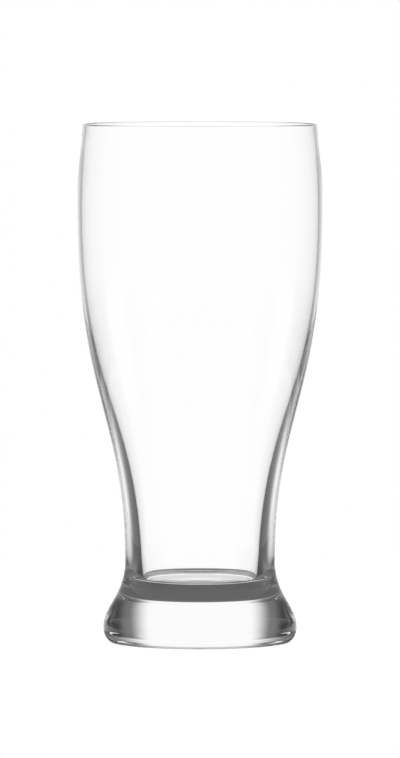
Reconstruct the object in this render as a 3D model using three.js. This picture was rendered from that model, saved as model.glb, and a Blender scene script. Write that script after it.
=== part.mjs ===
// Footed beer glass in clear glass, 180 mm tall, holding a little over half a litre to the brim.
// A blown bowl stands on a pressed, solid foot. The two are joined hot, end to end, on one flat seam
// below the floor of the bowl, so nothing on the glass moves or unscrews.
// Millimetres, +Z up. The origin is the centre of the table plane under the foot.

import * as THREE from "three";

// Driving dimensions of the outside, as radius and height
const HEIGHT = 180;
const RIM_RADIUS = 40.8;
const BELLY_RADIUS = 42.6;
const BELLY_HEIGHT = 153;
const NECK_RADIUS = 26.1;
const NECK_HEIGHT = 29.7;
const FOOT_RADIUS = 33.75;
const FOOT_EDGE_HEIGHT = 4.5;

// Driving dimensions of the glass itself
const RIM_BEAD = 1.3;
const BELLY_WALL = 1.5;
const RIM_WALL = 0.95;
const WELL_FLOOR_HEIGHT = 19.8;
const WELL_RADIUS = 20.25;
const WELL_CORNER_HEIGHT = 1.4;
const WELL_CORNER_WIDTH = 10.2;
const SEAM_HEIGHT = 18;

// The foot's underside: a narrow ring that stands on the table round the dome that the plunger leaves
const BEARING_OUTER_RADIUS = 30.4;
const BEARING_INNER_RADIUS = 27.8;
const PUSH_UP = 4.7;

// How far each curve runs on in the direction it leaves or reaches a station
const BELLY_TO_RIM_RUN = 6;
const RIM_RUN = 9;
const RIM_LEAN = 0.35;
const BELLY_TO_NECK_RUN = 68.8;
const NECK_TO_BELLY_RUN = 48.4;
const NECK_TO_FOOT_RUN = 13.3;
const FOOT_TO_NECK_RUN = 9;
const TOE_RUN_DOWN = 2;
const TOE_RUN_OUT = 0.9;
const TOE_RUN_UP = 1.7;
const DOME_RUN_IN = 0.8;
const WELL_TO_BELLY_RUN = 62;
const WELL_LEAN = 1.2;
const INNER_BELLY_TO_WELL_RUN = 72;
const WELL_CORNER_RUN_DOWN = 0.8;
const WELL_CORNER_RUN_OUT = 9.2;

// Facets
const AROUND = 64;

const station = (radius, height) => new THREE.Vector2(radius, height);

function curve(from, leaving, arriving, to) {
  return new THREE.CubicBezierCurve(from, leaving, arriving, to);
}

// The places where a curve is drawn on, evenly spaced between two of its parameters
function stretch(path, steps, first = 0, last = 1) {
  const points = [];
  for (let i = 0; i <= steps; i += 1) {
    points.push(path.getPoint(first + ((last - first) * i) / steps));
  }
  return points;
}

// The parameter at which a curve that only rises or only falls passes a height
function parameterAt(path, height) {
  let low = 0;
  let high = 1;
  const rising = path.getPoint(1).y > path.getPoint(0).y;
  for (let i = 0; i < 40; i += 1) {
    const middle = (low + high) / 2;
    const below = path.getPoint(middle).y < height;
    if (below === rising) {
      low = middle;
    } else {
      high = middle;
    }
  }
  return (low + high) / 2;
}

// Runs of points end to end as one outline, each shared point taken once
function outline(...runs) {
  const points = [];
  for (const point of runs.flat()) {
    const last = points[points.length - 1];
    if (!last || last.distanceTo(point) > 1e-4) {
      points.push(point);
    }
  }
  return points;
}

// A half section turned about the Z axis. The outline starts and ends on the axis.
function turned(points) {
  const geometry = new THREE.LatheGeometry(points, AROUND);
  geometry.rotateX(Math.PI / 2);
  return geometry;
}

// Outside of the foot and neck, from the foot's widest edge up to the neck. The seam crosses it.
const flare = curve(
  station(FOOT_RADIUS, FOOT_EDGE_HEIGHT),
  station(FOOT_RADIUS, FOOT_EDGE_HEIGHT + FOOT_TO_NECK_RUN),
  station(NECK_RADIUS, NECK_HEIGHT - NECK_TO_FOOT_RUN),
  station(NECK_RADIUS, NECK_HEIGHT),
);
const seamParameter = parameterAt(flare, SEAM_HEIGHT);
const seamRadius = flare.getPoint(seamParameter).x;

function bowlOutside() {
  const beadHeight = HEIGHT - RIM_BEAD / 2;
  const sides = curve(
    station(NECK_RADIUS, NECK_HEIGHT),
    station(NECK_RADIUS, NECK_HEIGHT + NECK_TO_BELLY_RUN),
    station(BELLY_RADIUS, BELLY_HEIGHT - BELLY_TO_NECK_RUN),
    station(BELLY_RADIUS, BELLY_HEIGHT),
  );
  const shoulder = curve(
    station(BELLY_RADIUS, BELLY_HEIGHT),
    station(BELLY_RADIUS, BELLY_HEIGHT + BELLY_TO_RIM_RUN),
    station(RIM_RADIUS + RIM_LEAN, beadHeight - RIM_RUN),
    station(RIM_RADIUS, beadHeight),
  );
  return outline(stretch(flare, 4, seamParameter, 1), stretch(sides, 18), stretch(shoulder, 6));
}

// The fire-polished rim is a half round, a little thicker than the wall below it
function rimBead() {
  const points = [];
  const steps = 6;
  for (let i = 0; i <= steps; i += 1) {
    const angle = (Math.PI * i) / steps;
    const x = RIM_RADIUS - RIM_BEAD / 2 + (RIM_BEAD / 2) * Math.cos(angle);
    const y = HEIGHT - RIM_BEAD / 2 + (RIM_BEAD / 2) * Math.sin(angle);
    points.push(station(x, y));
  }
  return points;
}

// The inside of the bowl keeps a thin wall down past the belly, then leaves the glass thicker and
// thicker towards the neck, where the well ends in a rounded corner and a flat floor
const innerBelly = station(BELLY_RADIUS - BELLY_WALL, BELLY_HEIGHT - 1);
const cornerTop = station(WELL_RADIUS, WELL_FLOOR_HEIGHT + WELL_CORNER_HEIGHT);
const innerSides = curve(
  innerBelly,
  station(innerBelly.x, innerBelly.y - INNER_BELLY_TO_WELL_RUN),
  station(WELL_RADIUS + WELL_LEAN, cornerTop.y + WELL_TO_BELLY_RUN),
  cornerTop,
);

function bowlInside() {
  const beadFoot = station(RIM_RADIUS - RIM_BEAD, HEIGHT - RIM_BEAD / 2);
  const thinnest = station(RIM_RADIUS + RIM_LEAN - RIM_WALL, HEIGHT - RIM_RUN);
  const shoulder = curve(
    beadFoot,
    station(beadFoot.x, beadFoot.y - RIM_BEAD),
    station(thinnest.x + RIM_LEAN, thinnest.y - RIM_RUN),
    innerBelly,
  );
  const cornerFoot = station(WELL_RADIUS - WELL_CORNER_WIDTH, WELL_FLOOR_HEIGHT);
  const corner = curve(
    cornerTop,
    station(cornerTop.x, cornerTop.y - WELL_CORNER_RUN_DOWN),
    station(cornerFoot.x + WELL_CORNER_RUN_OUT, cornerFoot.y),
    cornerFoot,
  );
  return outline(stretch(shoulder, 7), stretch(innerSides, 18), stretch(corner, 7));
}

function bowl() {
  const section = outline(
    [station(0, SEAM_HEIGHT)],
    bowlOutside(),
    rimBead(),
    bowlInside(),
    [station(0, WELL_FLOOR_HEIGHT)],
  );
  return turned(section);
}

function foot() {
  const pushUp = curve(
    station(0, PUSH_UP),
    station(BEARING_INNER_RADIUS / 2, PUSH_UP),
    station(BEARING_INNER_RADIUS - DOME_RUN_IN, PUSH_UP / 2),
    station(BEARING_INNER_RADIUS, 0),
  );
  const toe = curve(
    station(BEARING_OUTER_RADIUS, 0),
    station(BEARING_OUTER_RADIUS + TOE_RUN_OUT, TOE_RUN_UP),
    station(FOOT_RADIUS, FOOT_EDGE_HEIGHT - TOE_RUN_DOWN),
    station(FOOT_RADIUS, FOOT_EDGE_HEIGHT),
  );
  const section = outline(
    stretch(pushUp, 7),
    stretch(toe, 7),
    stretch(flare, 9, 0, seamParameter),
    [station(0, SEAM_HEIGHT)],
  );
  return turned(section);
}

// What the bowl holds to the brim, in millilitres, summed in thin slices of the inner outline
function brimfulCapacity() {
  const points = bowlInside();
  let volume = 0;
  for (let i = 1; i < points.length; i += 1) {
    const a = points[i - 1];
    const b = points[i];
    volume += (Math.PI / 3) * (a.y - b.y) * (a.x * a.x + a.x * b.x + b.x * b.x);
  }
  return volume / 1000;
}

function piece(name, geometry, colour, roughness) {
  const material = new THREE.MeshStandardMaterial({
    color: colour,
    roughness,
    metalness: 0,
    transparent: true,
    opacity: 0.35,
  });
  const mesh = new THREE.Mesh(geometry, material);
  mesh.name = name;
  return mesh;
}

const glass = new THREE.Group();
glass.add(piece("bowl", bowl(), 0xf4f7f6, 0.02));
glass.add(piece("foot", foot(), 0xeef2f1, 0.03));

console.log(`brimful capacity ${brimfulCapacity().toFixed(0)} ml`);
console.log(`seam ${(seamRadius * 2).toFixed(1)} mm across`);

export default glass;
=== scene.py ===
# %% [markdown]
# A footed beer glass in clear glass, 180 mm tall, for a little over half a litre.
# The real one is a blown bowl on a pressed, solid foot, fused hot, so that the eye sees a single piece
# of glass. This lesson draws its half section, turns it as on a lathe, gives it the optics of soda-lime
# glass, and then lights it the way that glass is photographed: bright behind, dark at the sides.
# Nothing on a glass has a colour of its own. What the eye sees is all bent light, so the outline of
# the inside, which nobody looks at, matters as much as the outline of the outside.

import math

import bpy
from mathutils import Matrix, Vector


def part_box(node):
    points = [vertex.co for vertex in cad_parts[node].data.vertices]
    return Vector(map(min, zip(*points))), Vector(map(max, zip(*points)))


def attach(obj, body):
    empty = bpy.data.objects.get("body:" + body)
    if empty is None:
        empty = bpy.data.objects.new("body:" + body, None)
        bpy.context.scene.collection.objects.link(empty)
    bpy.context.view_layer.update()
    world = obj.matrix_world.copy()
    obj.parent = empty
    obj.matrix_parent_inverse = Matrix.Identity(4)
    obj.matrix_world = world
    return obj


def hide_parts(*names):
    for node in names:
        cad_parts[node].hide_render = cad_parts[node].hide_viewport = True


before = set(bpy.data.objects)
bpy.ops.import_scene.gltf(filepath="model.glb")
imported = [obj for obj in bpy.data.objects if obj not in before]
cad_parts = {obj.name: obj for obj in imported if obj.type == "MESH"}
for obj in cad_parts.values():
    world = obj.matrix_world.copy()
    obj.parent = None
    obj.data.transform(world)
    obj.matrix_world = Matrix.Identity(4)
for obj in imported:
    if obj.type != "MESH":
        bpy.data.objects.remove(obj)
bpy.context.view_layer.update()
scene = bpy.context.scene

# %% [markdown]
# The frame gives the big sizes: how tall the glass is, and how wide the belly and the foot are. They
# could be typed in again, but then the picture and the solid part could drift apart, so they are read
# from the packed pieces and only the finer sizes are written here.
# Blender works in metres. The finer sizes are easier to think about in millimetres, so MM turns them.

# %% Sizes that come from the frame
MM = 0.001
bowl_low, bowl_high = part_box("bowl")
foot_low, foot_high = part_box("foot")
HEIGHT = bowl_high.z
BELLY_RADIUS = bowl_high.x
FOOT_RADIUS = foot_high.x
print(f"height {HEIGHT / MM:.1f}, belly {BELLY_RADIUS / MM:.2f}, foot {FOOT_RADIUS / MM:.2f} mm")
print(f"the packed foot starts {foot_low.z / MM:.1f} mm up, and the bowl {bowl_low.z / MM:.1f} mm up")

# %% Sizes of the outside
RIM_RADIUS = 40.8 * MM
RIM_BEAD = 1.3 * MM
BELLY_HEIGHT = 153 * MM
NECK_RADIUS = 26.1 * MM
NECK_HEIGHT = 29.7 * MM
FOOT_EDGE_HEIGHT = 4.9 * MM
print(f"the neck is {(BELLY_RADIUS - NECK_RADIUS) / MM:.1f} mm further in than the belly")

# %% Sizes of the glass wall and the well
BELLY_WALL = 1.5 * MM
WELL_RADIUS = 20.25 * MM
WELL_FLOOR = 20 * MM
WELL_CORNER_HEIGHT = 1.8 * MM
WELL_CORNER_WIDTH = 9.2 * MM
print(f"wall {BELLY_WALL / MM:.1f} mm at the belly, well {2 * WELL_RADIUS / MM:.1f} mm across at its corner")

# %% Sizes of the underside
BEARING_OUTER = 31 * MM
BEARING_INNER = 28.6 * MM
PUSH_UP = 4.5 * MM
print(f"ring {(BEARING_OUTER - BEARING_INNER) / MM:.1f} mm wide, dome {PUSH_UP / MM:.1f} mm high")

# %% [markdown]
# Every curve on this glass is one that hot glass takes by itself, so it has no corners. A cubic Bezier
# curve suits it: it leaves its first station in one direction and arrives at its last in another, and
# a maker can read its four points off a drawing. Blender could hold them as curve objects, but plain
# points in a list are simpler to turn and to measure, so `bezier` walks along the curve in code.

# %% Draw a curve between two stations
def bezier(start, leave, arrive, end, steps):
    """Points (radius, height) along a cubic Bezier curve, both ends included."""
    points = []
    for i in range(steps + 1):
        t = i / steps
        s = 1 - t
        weights = (s * s * s, 3 * s * s * t, 3 * s * t * t, t * t * t)
        stations = (start, leave, arrive, end)
        radius = sum(w * p[0] for w, p in zip(weights, stations))
        height = sum(w * p[1] for w, p in zip(weights, stations))
        points.append((radius, height))
    return points


def moved(station, out, up):
    """A station moved outwards and upwards."""
    return (station[0] + out, station[1] + up)


print("half way along a quarter bend:", bezier((0, 0), (1, 0), (2, 1), (2, 2), steps=2)[1])

# %% [markdown]
# Runs of points are put end to end into one outline. Two runs meet in a point that both of them have,
# and a mesh with the same ring twice would have faces without any width, so that point is kept once.

# %% Join runs of points
SAME_POINT = 0.001 * MM


def joined(*runs):
    """Runs of points end to end as one outline."""
    outline = []
    for point in [p for run in runs for p in run]:
        if not outline or math.dist(outline[-1], point) > SAME_POINT:
            outline.append(point)
    return outline


print("two runs of two points make", len(joined([(0, 0), (1, 0)], [(1, 0), (1, 1)])))

# %% [markdown]
# The outside runs from the table up: a rounded toe, the flare of the foot, the neck, then the long
# bowl that swells to its belly and draws in a little to the rim. The numbers called runs say how far
# each curve keeps going the way it starts. Long runs make slack curves and short ones make tight bends.
# At the ring the toe doesn't leave level but climbs at once, so the ring ends in a clear edge.

# %% Outline of the outside
TOE_OUT, TOE_UP = 1.3 * MM, 0.7 * MM
TOE_RUN = 2.6 * MM
FLARE_RUN_BELOW, FLARE_RUN_ABOVE = 8.1 * MM, 14.1 * MM
SIDE_RUN_BELOW, SIDE_RUN_ABOVE = 48.4 * MM, 68.8 * MM
SHOULDER_RUN_BELOW, SHOULDER_RUN_ABOVE = 11 * MM, 9 * MM
SHOULDER_LEAN = 0.35 * MM


def outside():
    """From the ring over the toe, the flare, the sides and the shoulder to the rim."""
    ring = (BEARING_OUTER, 0)
    edge = (FOOT_RADIUS, FOOT_EDGE_HEIGHT)
    neck = (NECK_RADIUS, NECK_HEIGHT)
    belly = (BELLY_RADIUS, BELLY_HEIGHT)
    rim = (RIM_RADIUS, HEIGHT - RIM_BEAD / 2)
    toe = bezier(ring, moved(ring, TOE_OUT, TOE_UP), moved(edge, 0, -TOE_RUN), edge, steps=28)
    flare = bezier(edge, moved(edge, 0, FLARE_RUN_BELOW), moved(neck, 0, -FLARE_RUN_ABOVE), neck, steps=44)
    sides = bezier(neck, moved(neck, 0, SIDE_RUN_BELOW), moved(belly, 0, -SIDE_RUN_ABOVE), belly, steps=64)
    shoulder = bezier(
        belly,
        moved(belly, 0, SHOULDER_RUN_BELOW),
        moved(rim, SHOULDER_LEAN, -SHOULDER_RUN_ABOVE),
        rim,
        steps=20,
    )
    return joined(toe, flare, sides, shoulder)


print(f"outside: {len(outside())} points")

# %% [markdown]
# The rim of a drinking glass is melted round in a flame, so that it doesn't cut the lip. Its bead is
# half a round, from the outside over the top to the inside.

# %% Bead of the rim
BEAD_STEPS = 14


def rim_bead():
    """Half a round, from the outside over the top to the inside."""
    reach = RIM_BEAD / 2
    middle = (RIM_RADIUS - reach, HEIGHT - reach)
    points = []
    for i in range(BEAD_STEPS + 1):
        angle = math.pi * i / BEAD_STEPS
        points.append(moved(middle, reach * math.cos(angle), reach * math.sin(angle)))
    return points


print(f"bead: {len(rim_bead())} points")

# %% [markdown]
# The inside is drawn from the rim down. The wall is 1.3 mm thick at the fire-polished bead, a little
# thinner below it, and 1.5 mm at the belly. Further down, the glass that was not blown out stays behind,
# so that the wall is about 5.6 mm at the neck. The well ends in a tight corner and a floor that is level
# in the middle. That corner draws the fine bright and dark lines across the neck, so it gets many short
# steps.

# %% Outline of the inside
INNER_BELLY_DROP = 1 * MM
BEAD_RUN = 1.3 * MM
INNER_SHOULDER_RUN = 13 * MM
INNER_SIDE_RUN_ABOVE, INNER_SIDE_RUN_BELOW = 72 * MM, 62 * MM
INNER_SIDE_LEAN = 1.2 * MM
CORNER_RUN_DOWN, CORNER_RUN_IN = 0.4 * MM, 8 * MM


def inside():
    """From the bead down the shoulder, the sides and the corner to the middle of the floor."""
    bead = (RIM_RADIUS - RIM_BEAD, HEIGHT - RIM_BEAD / 2)
    belly = (BELLY_RADIUS - BELLY_WALL, BELLY_HEIGHT - INNER_BELLY_DROP)
    wall_end = (WELL_RADIUS, WELL_FLOOR + WELL_CORNER_HEIGHT)
    floor_edge = (WELL_RADIUS - WELL_CORNER_WIDTH, WELL_FLOOR)
    shoulder = bezier(bead, moved(bead, 0, -BEAD_RUN), moved(belly, 0, INNER_SHOULDER_RUN), belly, steps=24)
    sides = bezier(
        belly,
        moved(belly, 0, -INNER_SIDE_RUN_ABOVE),
        moved(wall_end, INNER_SIDE_LEAN, INNER_SIDE_RUN_BELOW),
        wall_end,
        steps=70,
    )
    corner = bezier(
        wall_end,
        moved(wall_end, 0, -CORNER_RUN_DOWN),
        moved(floor_edge, CORNER_RUN_IN, 0),
        floor_edge,
        steps=26,
    )
    return joined(shoulder, sides, corner, [(0, WELL_FLOOR)])


print(f"inside: {len(inside())} points")

# %% [markdown]
# Underneath, a pressed foot is never flat all over, or it would rock on a grain of salt. It stands on
# a narrow ring, and the plunger leaves a dome inside the ring, level in the middle and steep at the
# ring. The dome also works as a lens and a mirror: it throws the light from behind forward into the
# foot, which is why the middle of the foot is white.

# %% Outline of the underside
DOME_LEVEL_SHARE = 0.6
DOME_BEND_IN = 0.9 * MM
DOME_BEND_SHARE = 0.8


def underside():
    """From the middle of the dome down to the inner edge of the ring."""
    return bezier(
        (0, PUSH_UP),
        (BEARING_INNER * DOME_LEVEL_SHARE, PUSH_UP),
        (BEARING_INNER - DOME_BEND_IN, PUSH_UP * DOME_BEND_SHARE),
        (BEARING_INNER, 0),
        steps=30,
    )


def half_section():
    """The whole outline of the glass: from the axis underneath, round the outside, to the axis inside."""
    return joined(underside(), outside(), rim_bead(), inside())


section = half_section()
print(f"half section: {len(section)} points")

# %% [markdown]
# Turning the outline makes the glass. The Screw modifier could do it, or a spin in edit mode, but both
# leave doubled points on the axis that then have to be merged. Here the rings are laid out one by one,
# with a single point at each pole, so the mesh is closed and every face is where it should be. Bent
# light shows the smallest facet, so the glass gets many more steps round than a solid thing needs.
# The faces are shaded smooth, but not across the two sharp edges of the bearing ring.

# %% Turn the outline into a closed mesh
STEPS_AROUND = 256
SHARP_ANGLE = 25


def ring_points(radius, height, steps):
    """Points evenly round the axis, all at one height."""
    points = []
    for i in range(steps):
        angle = 2 * math.pi * i / steps
        points.append((radius * math.cos(angle), radius * math.sin(angle), height))
    return points


def turned_mesh(name, outline):
    """A mesh of rings from an outline that starts and ends on the axis."""
    vertices = [(0, 0, outline[0][1])]
    rings = outline[1:-1]
    for radius, height in rings:
        vertices += ring_points(radius, height, STEPS_AROUND)
    last = len(vertices)
    vertices.append((0, 0, outline[-1][1]))
    faces = []
    for i in range(STEPS_AROUND):
        after = (i + 1) % STEPS_AROUND
        faces.append((0, 1 + after, 1 + i))
        for ring in range(len(rings) - 1):
            low = 1 + ring * STEPS_AROUND
            high = low + STEPS_AROUND
            faces.append((low + i, low + after, high + after, high + i))
        top = 1 + (len(rings) - 1) * STEPS_AROUND
        faces.append((last, top + i, top + after))
    mesh = bpy.data.meshes.new(name)
    mesh.from_pydata(vertices, [], faces)
    mesh.shade_smooth()
    mesh.set_sharp_from_angle(angle=math.radians(SHARP_ANGLE))
    mesh.validate()
    return mesh


glass = bpy.data.objects.new("glass", turned_mesh("glass", section))
scene.collection.objects.link(glass)
print(f"glass: {len(glass.data.vertices)} points, {len(glass.data.polygons)} faces")

# %% [markdown]
# What the bowl holds is a check on the sizes. Each step of the inner outline is a slice of a cone, and
# the slices add up to the brimful capacity.

# %% Measure what it holds
MILLILITRES = 1e6


def capacity_ml(outline):
    """Brimful capacity of an inner outline that runs from the rim down to the axis."""
    total = 0
    for (r0, z0), (r1, z1) in zip(outline, outline[1:]):
        total += math.pi / 3 * (z0 - z1) * (r0 * r0 + r0 * r1 + r1 * r1)
    return total * MILLILITRES


print(f"brimful capacity {capacity_ml(inside()):.0f} ml")

# %% [markdown]
# Soda-lime glass bends light by an index of 1.52 and is all but colourless. The little iron in it
# takes up some light on a long way through, which greys the thick foot and not the thin wall. The
# Principled shader has glass in it: full transmission and no roughness. The grey belongs inside the
# glass and not on its face, so it is a Volume Absorption on the material's other output.
#
# Each face of a real glass sends back 4% of the light that meets it square on. Four faces in a row
# would grey the whole bowl, and in the photograph the bright background burns that grey away. Here
# the background is no brighter than white, so Specular Tint takes most of the square-on mirroring
# off instead. The mirroring at a slant, which draws the edges, stays whole.

# %% Material of the glass
INDEX = 1.52
SQUARE_ON_MIRROR = 0.1
IRON_COLOUR = (0.84, 0.85, 0.85, 1)
IRON_DENSITY = 3
WHITE = (1, 1, 1, 1)


def clear_glass():
    """Clear soda-lime glass, with the faint grey of its iron."""
    material = bpy.data.materials.new("clear_glass")
    material.use_nodes = True
    nodes = material.node_tree.nodes
    shader = nodes["Principled BSDF"]
    shader.inputs["Base Color"].default_value = WHITE
    shader.inputs["Roughness"].default_value = 0
    shader.inputs["IOR"].default_value = INDEX
    shader.inputs["Specular Tint"].default_value = (SQUARE_ON_MIRROR,) * 3 + (1,)
    shader.inputs["Transmission Weight"].default_value = 1
    iron = nodes.new("ShaderNodeVolumeAbsorption")
    iron.inputs["Color"].default_value = IRON_COLOUR
    iron.inputs["Density"].default_value = IRON_DENSITY
    material.node_tree.links.new(iron.outputs["Volume"], nodes["Material Output"].inputs["Volume"])
    return material


glass.data.materials.append(clear_glass())
print("material", glass.data.materials[0].name)

# %% [markdown]
# The packed model has the bowl and the foot as two solids that meet on a flat seam. On the real glass
# the seam is gone: hot glass runs together. Two meshes with a face between them would draw that face
# as a mirror across the neck, so one mesh stands for both pieces here.

# %% Stand the glass in for the two packed pieces
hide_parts("bowl", "foot")
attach(glass, "root")
print(glass.name, "stands for the bowl and the foot")

# %% [markdown]
# The camera stands where the photographer stood: 2.6 m away with a long lens, a little above the glass
# and looking down by about three degrees, which opens the rim into a thin ellipse. The focal length was
# found in pixels. Blender lays the sensor along the longer side of the picture, which is its height
# here, so the lens is the same share of the sensor as the focal length is of the picture's height.

# %% Camera
PICTURE_HEIGHT = 758
FOCAL_PIXELS = 7486.7
SENSOR = 36
CAMERA_PLACE = Vector((0, -2.5975, 0.23644))
LOOKED_AT = Vector((0, 0, 0.09136))
FAR_END = 30


def photographer():
    """The camera of the photograph, as an object."""
    lens = bpy.data.cameras.new("camera")
    lens.sensor_width = SENSOR
    lens.lens = FOCAL_PIXELS / PICTURE_HEIGHT * SENSOR
    lens.clip_end = FAR_END
    made = bpy.data.objects.new("camera", lens)
    made.location = CAMERA_PLACE
    made.rotation_euler = (LOOKED_AT - CAMERA_PLACE).to_track_quat("-Z", "Y").to_euler()
    return made


camera = photographer()
scene.collection.objects.link(camera)
scene.camera = camera
print(f"lens {camera.data.lens:.1f} mm")

# %% [markdown]
# Glass is lit by what stands round it. Photographers call this bright field: a white sheet right
# behind the glass and black cards at its sides. Where the wall is thin the light goes straight through
# and the glass is white. Where the wall turns away or the glass is thick, it bends the view round to a
# black card, and that draws the dark outline.
#
# The studio here is a round wall about the glass, with the table as its floor. What is white on it and
# what is black is worked out from the place: how far round from straight behind the glass, how high on
# the wall, how far out on the table. The sums are done by nodes, and a node tree with many sums is hard
# to read, so the helpers here let a sum be written as one line.

# %% Sums with nodes
class Sums:
    """Small sums with nodes, on one node tree."""

    def __init__(self, tree):
        self.tree = tree

    def node(self, kind, **settings):
        """A new node with these settings."""
        made = self.tree.nodes.new(kind)
        for name, value in settings.items():
            setattr(made, name, value)
        return made

    def put(self, socket, value):
        """A link from another node where value is one of its sockets, or else a plain number."""
        if isinstance(value, bpy.types.NodeSocket):
            self.tree.links.new(value, socket)
        else:
            socket.default_value = value

    def maths(self, operation, *values):
        """One step of arithmetic."""
        made = self.node("ShaderNodeMath", operation=operation)
        for socket, value in zip(made.inputs, values):
            self.put(socket, value)
        return made.outputs[0]

    def step(self, value, start, end, low=0.0, high=1.0):
        """Goes softly from low to high while value goes from start to end."""
        made = self.node("ShaderNodeMapRange", interpolation_type="SMOOTHSTEP")
        for name, number in (("From Min", start), ("From Max", end), ("To Min", low), ("To Max", high)):
            self.put(made.inputs[name], number)
        self.put(made.inputs["Value"], value)
        return made.outputs["Result"]

    def blend(self, share, first, second):
        """first where share is 0, second where it is 1."""
        made = self.node("ShaderNodeMix", data_type="FLOAT")
        sockets = (made.inputs[0], made.inputs[2], made.inputs[3])
        for socket, value in zip(sockets, (share, first, second)):
            self.put(socket, value)
        return made.outputs[0]

    def either(self, first, second):
        """The brighter of two, or where both are yes or no: yes if one of them is."""
        return self.maths("MAXIMUM", first, second)

    def both(self, first, second):
        """Where both are yes or no: yes if both are."""
        return self.maths("MULTIPLY", first, second)

    def slant(self, level, upright):
        """Length of the slanting side over a level and an upright one."""
        level_squared = self.maths("MULTIPLY", level, level)
        upright_squared = self.maths("MULTIPLY", upright, upright)
        return self.maths("SQRT", self.maths("ADD", level_squared, upright_squared))

    def glow(self, strength):
        """The light of a plain white surface of this brightness."""
        made = self.node("ShaderNodeEmission")
        made.inputs["Color"].default_value = WHITE
        self.put(made.inputs["Strength"], strength)
        return made.outputs[0]

    def show(self, shader):
        """Puts a shader on the surface."""
        self.put(self.node("ShaderNodeOutputMaterial").inputs["Surface"], shader)


print("helpers:", ", ".join(name for name in vars(Sums) if not name.startswith("_")))

# %% [markdown]
# Places in the studio are told by the angle round the glass, from 0 straight behind it to 180 on the
# camera's side, the height on the wall, and the distance from the axis. Left and right are alike. The
# distance from the two upright planes that stand at 45 degrees is there for strips on the diagonals. It
# is the difference between how far across and how far along the place is, times a fixed share.

# %% Where a point of the studio lies
DIAGONAL_SHARE = math.sqrt(0.5)


class Place:
    """Where a point of the studio lies, in the terms that the lighting is laid out in."""

    def __init__(self, tree):
        sums = Sums(tree)
        split = sums.node("ShaderNodeSeparateXYZ")
        sums.put(split.inputs[0], sums.node("ShaderNodeTexCoord").outputs["Object"])
        x, y, self.height = split.outputs
        across = sums.maths("ABSOLUTE", x)
        along = sums.maths("ABSOLUTE", y)
        off_diagonal = sums.maths("ABSOLUTE", sums.maths("SUBTRACT", across, along))
        self.sums = sums
        self.round_angle = sums.maths("DEGREES", sums.maths("ARCTAN2", across, y))
        self.radius = sums.slant(x, y)
        self.off_diagonal = sums.maths("MULTIPLY", off_diagonal, DIAGONAL_SHARE)


def glowing_material(name):
    """A material with a bare surface that isn't sampled as a lamp, and the places on that surface."""
    material = bpy.data.materials.new(name)
    material.use_nodes = True
    material.node_tree.nodes.clear()
    material.cycles.emission_sampling = "NONE"
    return material, Place(material.node_tree)


print(f"share for the diagonals {DIAGONAL_SHARE:.3f}")

# %% [markdown]
# The white sheet behind the glass fades out softly at its edges, first to a dim edge and then into black
# cards. In front of the glass, where the camera is, the room is black. Narrow white sheets also stand at
# the left and right and to both sides of the camera, so that something white is behind the foot when it
# is seen from other sides too. Angles are in degrees from straight behind the glass.

# %% What is white and what is black
CARD = 0.05
EDGE = 0.18
SIDE_ANGLE = 90
FRONT_FROM, FRONT_TO = 90, 95
SHEET_WHITE, SHEET_EDGE, SHEET_GONE = 18, 31, 42
SIDE_WHITE, SIDE_GONE = 8, 18
STRIP_WHITE, STRIP_GONE = 45 * MM, 60 * MM


def side_sheets(place):
    """White at the left and right of the glass."""
    sums = place.sums
    from_side = sums.maths("ABSOLUTE", sums.maths("SUBTRACT", place.round_angle, SIDE_ANGLE))
    return sums.step(from_side, SIDE_WHITE, SIDE_GONE, 1, 0)


def front_strips(place):
    """White to both sides of the camera."""
    sums = place.sums
    strip = sums.step(place.off_diagonal, STRIP_WHITE, STRIP_GONE, 1, 0)
    return sums.both(strip, sums.maths("GREATER_THAN", place.round_angle, SIDE_ANGLE))


def sheets(place, white, gone, dark):
    """The sheet behind, the side sheets and the front strips, with dark between them."""
    sums = place.sums
    behind = sums.blend(sums.step(place.round_angle, white, gone), 1.0, dark)
    return sums.either(sums.either(behind, side_sheets(place)), front_strips(place))


def soft_edge(place, dark):
    """The dim edge of the sheet on the wall, and dark past it."""
    sums = place.sums
    return sums.blend(sums.step(place.round_angle, SHEET_EDGE, SHEET_GONE), EDGE, dark)


print(f"sheet behind: white to {SHEET_WHITE} degrees, dim at {SHEET_EDGE}, gone at {SHEET_GONE}")

# %% [markdown]
# Blender follows light backwards, from the eye through the glass to what lit it, so light is said here
# to see the wall or the table. The Light Path node counts how many faces it crossed on that way and how
# often it was mirrored, and its Ray Length is the last stretch, from the glass to the wall or table.
#
# Light straight through the empty bowl crosses four faces and is mirrored by none. The eye takes it for
# the background itself, so it sees plain white, wherever the viewer stands. What is left is light that
# is mirrored inside the wall, or bent by the solid foot, and that sees the cards.
#
# Looking down into the mouth, the light crosses only the far wall, two faces, just like light through
# the foot. The last stretch tells the two apart. From the foot, low on the table, it takes a certain
# length to reach a place on the wall, by the rule of the right-angled triangle, and from the far wall
# of the bowl, higher up, it takes less. Low on the wall and on the table it is the other way round: the
# steep view through the mouth has the longer last stretch. Just below the height of the rim this rule
# stops, so that the rim keeps its lines. Light that only glanced off the outside is sorted in the same
# way, into light off the bowl and light off the foot.

# %% What light met on its way
CROSSED_THE_BOWL = 3.5
CROSSED_NOTHING = 0.5
MIRRORED_NOWHERE = 0.5
FOOT_TO_WALL, MOUTH_TO_WALL = 316 * MM, 345 * MM
MIDDLE_OF_FOOT, TOP_OF_FOOT = 10 * MM, 30 * MM
UNDER_THE_RIM = 176 * MM
STEEP_WAY = 334 * MM
STEEP_BELOW = 60 * MM
STEEP_BEHIND, STEEP_IN_FRONT = 56, 100
GLANCE_TO_WALL = 339 * MM


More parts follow.
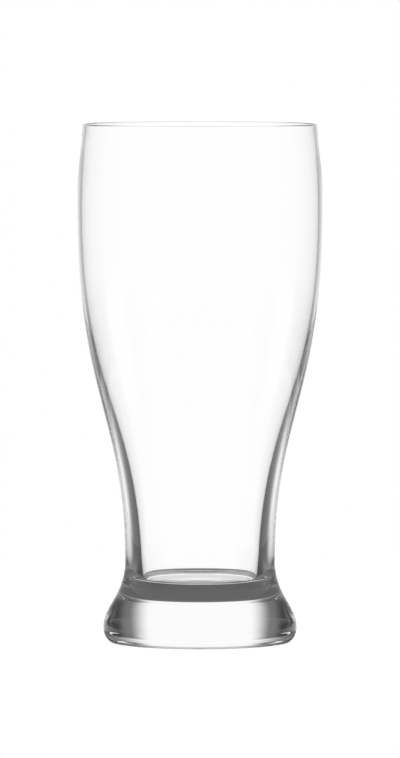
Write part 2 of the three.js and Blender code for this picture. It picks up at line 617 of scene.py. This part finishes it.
class Path:
    """What the light met on its way, as yes or no, and the length of its last stretch."""

    def __init__(self, place):
        sums = place.sums
        path = sums.node("ShaderNodeLightPath")
        crossed = path.outputs["Transmission Depth"]
        self.sums = sums
        self.length = path.outputs["Ray Length"]
        self.unmirrored = sums.maths("LESS_THAN", path.outputs["Glossy Depth"], MIRRORED_NOWHERE)
        self.through_bowl = sums.maths("GREATER_THAN", crossed, CROSSED_THE_BOWL)
        self.straight = sums.both(self.through_bowl, self.unmirrored)
        self.glanced_off = sums.maths("LESS_THAN", crossed, CROSSED_NOTHING)

    def shorter_than(self, reach, rise):
        """Whether the last stretch is shorter than from a point this far off and this much lower."""
        return self.sums.maths("LESS_THAN", self.length, self.sums.slant(reach, rise))

    def off_the_bowl(self, height):
        """Light that glanced off the outside of the bowl, and not off the foot."""
        rise = self.sums.maths("SUBTRACT", height, TOP_OF_FOOT)
        return self.sums.both(self.shorter_than(GLANCE_TO_WALL, rise), self.glanced_off)

    def through_mouth(self, height, round_angle):
        """Light that went in over the rim and out through the far wall of the bowl."""
        sums = self.sums
        in_front = sums.maths("GREATER_THAN", round_angle, STEEP_IN_FRONT)
        not_beside = sums.either(sums.maths("LESS_THAN", round_angle, STEEP_BEHIND), in_front)
        low = sums.maths("LESS_THAN", height, STEEP_BELOW)
        reach = sums.blend(in_front, FOOT_TO_WALL, MOUTH_TO_WALL)
        level = self.shorter_than(reach, sums.maths("SUBTRACT", height, MIDDLE_OF_FOOT))
        level = sums.both(level, sums.maths("SUBTRACT", 1.0, low))
        level = sums.both(level, sums.maths("LESS_THAN", height, UNDER_THE_RIM))
        steep = sums.both(sums.maths("GREATER_THAN", self.length, STEEP_WAY), low)
        steep = sums.both(steep, not_beside)
        return sums.both(sums.either(level, steep), self.unmirrored)


print(f"from the foot to the wall {FOOT_TO_WALL / MM:.0f} mm, steep light over {STEEP_WAY / MM:.0f} mm")

# %% [markdown]
# From about 50 to 100 mm up, the wall goes over from the sheet and the cards to a dimmer, softer light.
# The foot sees that upper part through its flare, and it keeps the foot's bands from being either paper
# white or pitch black. Light that went through the bowl sees no cards up to a little over the height of
# the glass, even if it was mirrored on the way: the second mirroring would only repeat the dark outline
# inside the first. Light that glanced off the outside of the bowl sees no cards either, except low on
# the wall. A real studio has no such rules, they stand in for what the photograph's light does here.

# %% Brightness of the wall
UPPER_FROM, UPPER_TO = 49 * MM, 101 * MM
UPPER_BEHIND, UPPER_SIDE = 0.61, 0.16
UPPER_FADE_FROM, UPPER_FADE_TO = 10, 41
UPPER_FRONT = 0.08
REPEAT_HEIGHT = 200 * MM
GLANCE_FROM, GLANCE_TO = 30 * MM, 100 * MM


def upper_wall(place, in_front):
    """The dimmer light high on the wall, brightest straight behind the glass."""
    sums = place.sums
    upper = sums.step(place.round_angle, UPPER_FADE_FROM, UPPER_FADE_TO, UPPER_BEHIND, UPPER_SIDE)
    return sums.blend(in_front, upper, UPPER_FRONT)


def wall_brightness(place):
    """Plain white for light that the eye takes for the background, and the lighting plan for the rest."""
    sums = place.sums
    path = Path(place)
    in_front = sums.step(place.round_angle, FRONT_FROM, FRONT_TO)
    dark = soft_edge(place, sums.blend(in_front, CARD, 0.0))
    lower = sheets(place, SHEET_WHITE, SHEET_EDGE, dark)
    share_upper = sums.step(place.height, UPPER_FROM, UPPER_TO)
    bent = sums.blend(share_upper, lower, upper_wall(place, in_front))
    repeated = sums.both(path.through_bowl, sums.maths("LESS_THAN", place.height, REPEAT_HEIGHT))
    beside_bowl = sums.step(place.height, GLANCE_FROM, GLANCE_TO)
    beside_bowl = sums.maths("MULTIPLY", beside_bowl, path.off_the_bowl(place.height))
    plain = sums.either(path.straight, sums.either(repeated, beside_bowl))
    plain = sums.either(plain, path.through_mouth(place.height, place.round_angle))
    return sums.blend(plain, bent, 1.0)


print(f"wall: sheet and cards up to {UPPER_FROM / MM:.0f} mm, upper light from {UPPER_TO / MM:.0f} mm")

# %% [markdown]
# The table is white behind the glass and fades to the sides. Close to the foot it is in the glass's
# own shade, and that shade is what the dark band across the neck is made of. The shade is deepest
# behind the glass and beside it. In front, light that the foot throws forward brightens it again.
# Light straight through the bowl sees the table white, and so does light that glances off the outside,
# unless it lands so close that it must have come out at the foot.

# %% Brightness of the table as the glass sees it
TABLE_WHITE, TABLE_GONE = 19, 42
TABLE_SIDE = 0.1
SHADE_BEHIND, SHADE_BACK_QUARTER, SHADE_BESIDE, SHADE_FRONT = 0.11, 0.25, 0.04, 0.4
BACK_QUARTER_FROM, BACK_QUARTER_TO = 9, 21
BESIDE_FROM, BESIDE_TO = 45, 65
SHADE_FRONT_FROM, SHADE_FRONT_TO = 100, 140
SHADE_FROM, SHADE_TO = 32 * MM, 237 * MM
CLOSE_WAY, FAR_WAY = 10 * MM, 50 * MM


def shade_brightness(place):
    """The shade of the glass on the table, all the way round it."""
    sums = place.sums
    angle = place.round_angle
    shade = sums.step(angle, BACK_QUARTER_FROM, BACK_QUARTER_TO, SHADE_BEHIND, SHADE_BACK_QUARTER)
    shade = sums.blend(sums.step(angle, BESIDE_FROM, BESIDE_TO), shade, SHADE_BESIDE)
    return sums.blend(sums.step(angle, SHADE_FRONT_FROM, SHADE_FRONT_TO), shade, SHADE_FRONT)


def table_brightness(place):
    """Plain white for light that the eye takes for the background, and the lighting plan for the rest."""
    sums = place.sums
    path = Path(place)
    in_front = sums.step(place.round_angle, FRONT_FROM, FRONT_TO)
    open_table = sheets(place, TABLE_WHITE, TABLE_GONE, sums.blend(in_front, TABLE_SIDE, 0.0))
    share_open = sums.step(place.radius, SHADE_FROM, SHADE_TO)
    bent = sums.blend(share_open, shade_brightness(place), open_table)
    plain = sums.either(path.straight, path.glanced_off)
    plain = sums.maths("MULTIPLY", plain, sums.step(path.length, CLOSE_WAY, FAR_WAY))
    plain = sums.either(plain, path.through_mouth(0.0, place.round_angle))
    return sums.blend(plain, bent, 1.0)


print(f"table: shade of the glass from {SHADE_FROM / MM:.0f} to {SHADE_TO / MM:.0f} mm out")

# %% [markdown]
# The wall is a plain open drum. Only light that has been through the glass, or mirrored by it, may see
# it. To the camera and to the table it isn't there, so nothing of it shows round the glass. Its foot is
# a hair below the glass, as the table is, so that no two faces lie in each other.

# %% Wall
STUDIO_RADIUS = 0.35
STUDIO_HEIGHT = 0.7
STUDIO_STEPS = 96
FLOOR_GAP = 0.1 * MM


def wall_material():
    """The lighting plan of the wall."""
    material, place = glowing_material("studio_wall")
    place.sums.show(place.sums.glow(wall_brightness(place)))
    return material


def studio_wall():
    """The drum round the glass, open at the top and at the bottom."""
    corners = ring_points(STUDIO_RADIUS, -FLOOR_GAP, STUDIO_STEPS)
    corners += ring_points(STUDIO_RADIUS, STUDIO_HEIGHT, STUDIO_STEPS)
    faces = []
    for i in range(STUDIO_STEPS):
        after = (i + 1) % STUDIO_STEPS
        faces.append((i, after, STUDIO_STEPS + after, STUDIO_STEPS + i))
    mesh = bpy.data.meshes.new("studio_wall")
    mesh.from_pydata(corners, [], faces)
    mesh.materials.append(wall_material())
    made = bpy.data.objects.new("studio_wall", mesh)
    made.visible_camera = False
    made.visible_diffuse = False
    made.visible_shadow = False
    return made


wall = studio_wall()
scene.collection.objects.link(wall)
print(f"wall {2 * STUDIO_RADIUS:.2f} m across, {STUDIO_HEIGHT:.2f} m tall")

# %% [markdown]
# The glass stands on a white table. The camera and the light see it as plain white paint, so it keeps
# the soft shadow where the foot touches it. A little glow lifts the paint, or the shadow of a thing
# that lets most light through would come out far too deep. Seen through the glass, or mirrored in it,
# the table is as bright as the studio plan says.

# %% Table
PAINT = (0.98, 0.98, 0.98, 1)
PAINT_GLOW = 0.55


def lifted_paint(sums):
    """White paint that glows a little."""
    paint = sums.node("ShaderNodeBsdfDiffuse")
    paint.inputs["Color"].default_value = PAINT
    lifted = sums.node("ShaderNodeAddShader")
    sums.put(lifted.inputs[0], paint.outputs[0])
    sums.put(lifted.inputs[1], sums.glow(PAINT_GLOW))
    return lifted.outputs[0]


def table_material():
    """Paint to the camera and the light, and the lighting plan to the glass."""
    material, place = glowing_material("white_table")
    sums = place.sums
    path = sums.node("ShaderNodeLightPath")
    mix = sums.node("ShaderNodeMixShader")
    from_glass = sums.either(path.outputs["Is Transmission Ray"], path.outputs["Is Glossy Ray"])
    sums.put(mix.inputs[0], from_glass)
    sums.put(mix.inputs[1], lifted_paint(sums))
    sums.put(mix.inputs[2], sums.glow(table_brightness(place)))
    sums.show(mix.outputs[0])
    return material


def table_top():
    """A round, flat table as wide as the wall."""
    mesh = bpy.data.meshes.new("table")
    corners = ring_points(STUDIO_RADIUS, -FLOOR_GAP, STUDIO_STEPS)
    mesh.from_pydata(corners, [], [tuple(range(STUDIO_STEPS))])
    mesh.materials.append(table_material())
    return bpy.data.objects.new("table", mesh)


table = table_top()
scene.collection.objects.link(table)
print(f"table {2 * STUDIO_RADIUS:.2f} m across")

# %% [markdown]
# Over the wall is the sky of the studio, the world. It is plain white: paper behind the glass to the
# camera, an even light from all round to the table, and a soft light overhead to the glass.

# %% World
SKY = 1.0


def studio_world():
    """A plain white sky."""
    world = bpy.data.worlds.new("studio")
    world.use_nodes = True
    world.node_tree.nodes.clear()
    sums = Sums(world.node_tree)
    sky = sums.node("ShaderNodeBackground")
    sky.inputs["Color"].default_value = WHITE
    sky.inputs["Strength"].default_value = SKY
    sums.put(sums.node("ShaderNodeOutputWorld").inputs["Surface"], sky.outputs[0])
    return world


scene.world = studio_world()
scene.world.cycles.sampling_method = "NONE"
print("world", scene.world.name)

# %% [markdown]
# Colours go to the picture as they are, so the view transform is Standard. Light that goes in at the
# foot is mirrored inside it again and again before it comes out, and each turn costs a bounce, so the
# number of bounces is raised, or the deepest parts of the glass would come out black.

# %% View and light paths
BOUNCES = 32
scene.view_settings.view_transform = "Standard"
scene.cycles.max_bounces = BOUNCES
scene.cycles.transmission_bounces = BOUNCES
scene.cycles.glossy_bounces = BOUNCES
print("view transform", scene.view_settings.view_transform, "and", BOUNCES, "bounces")
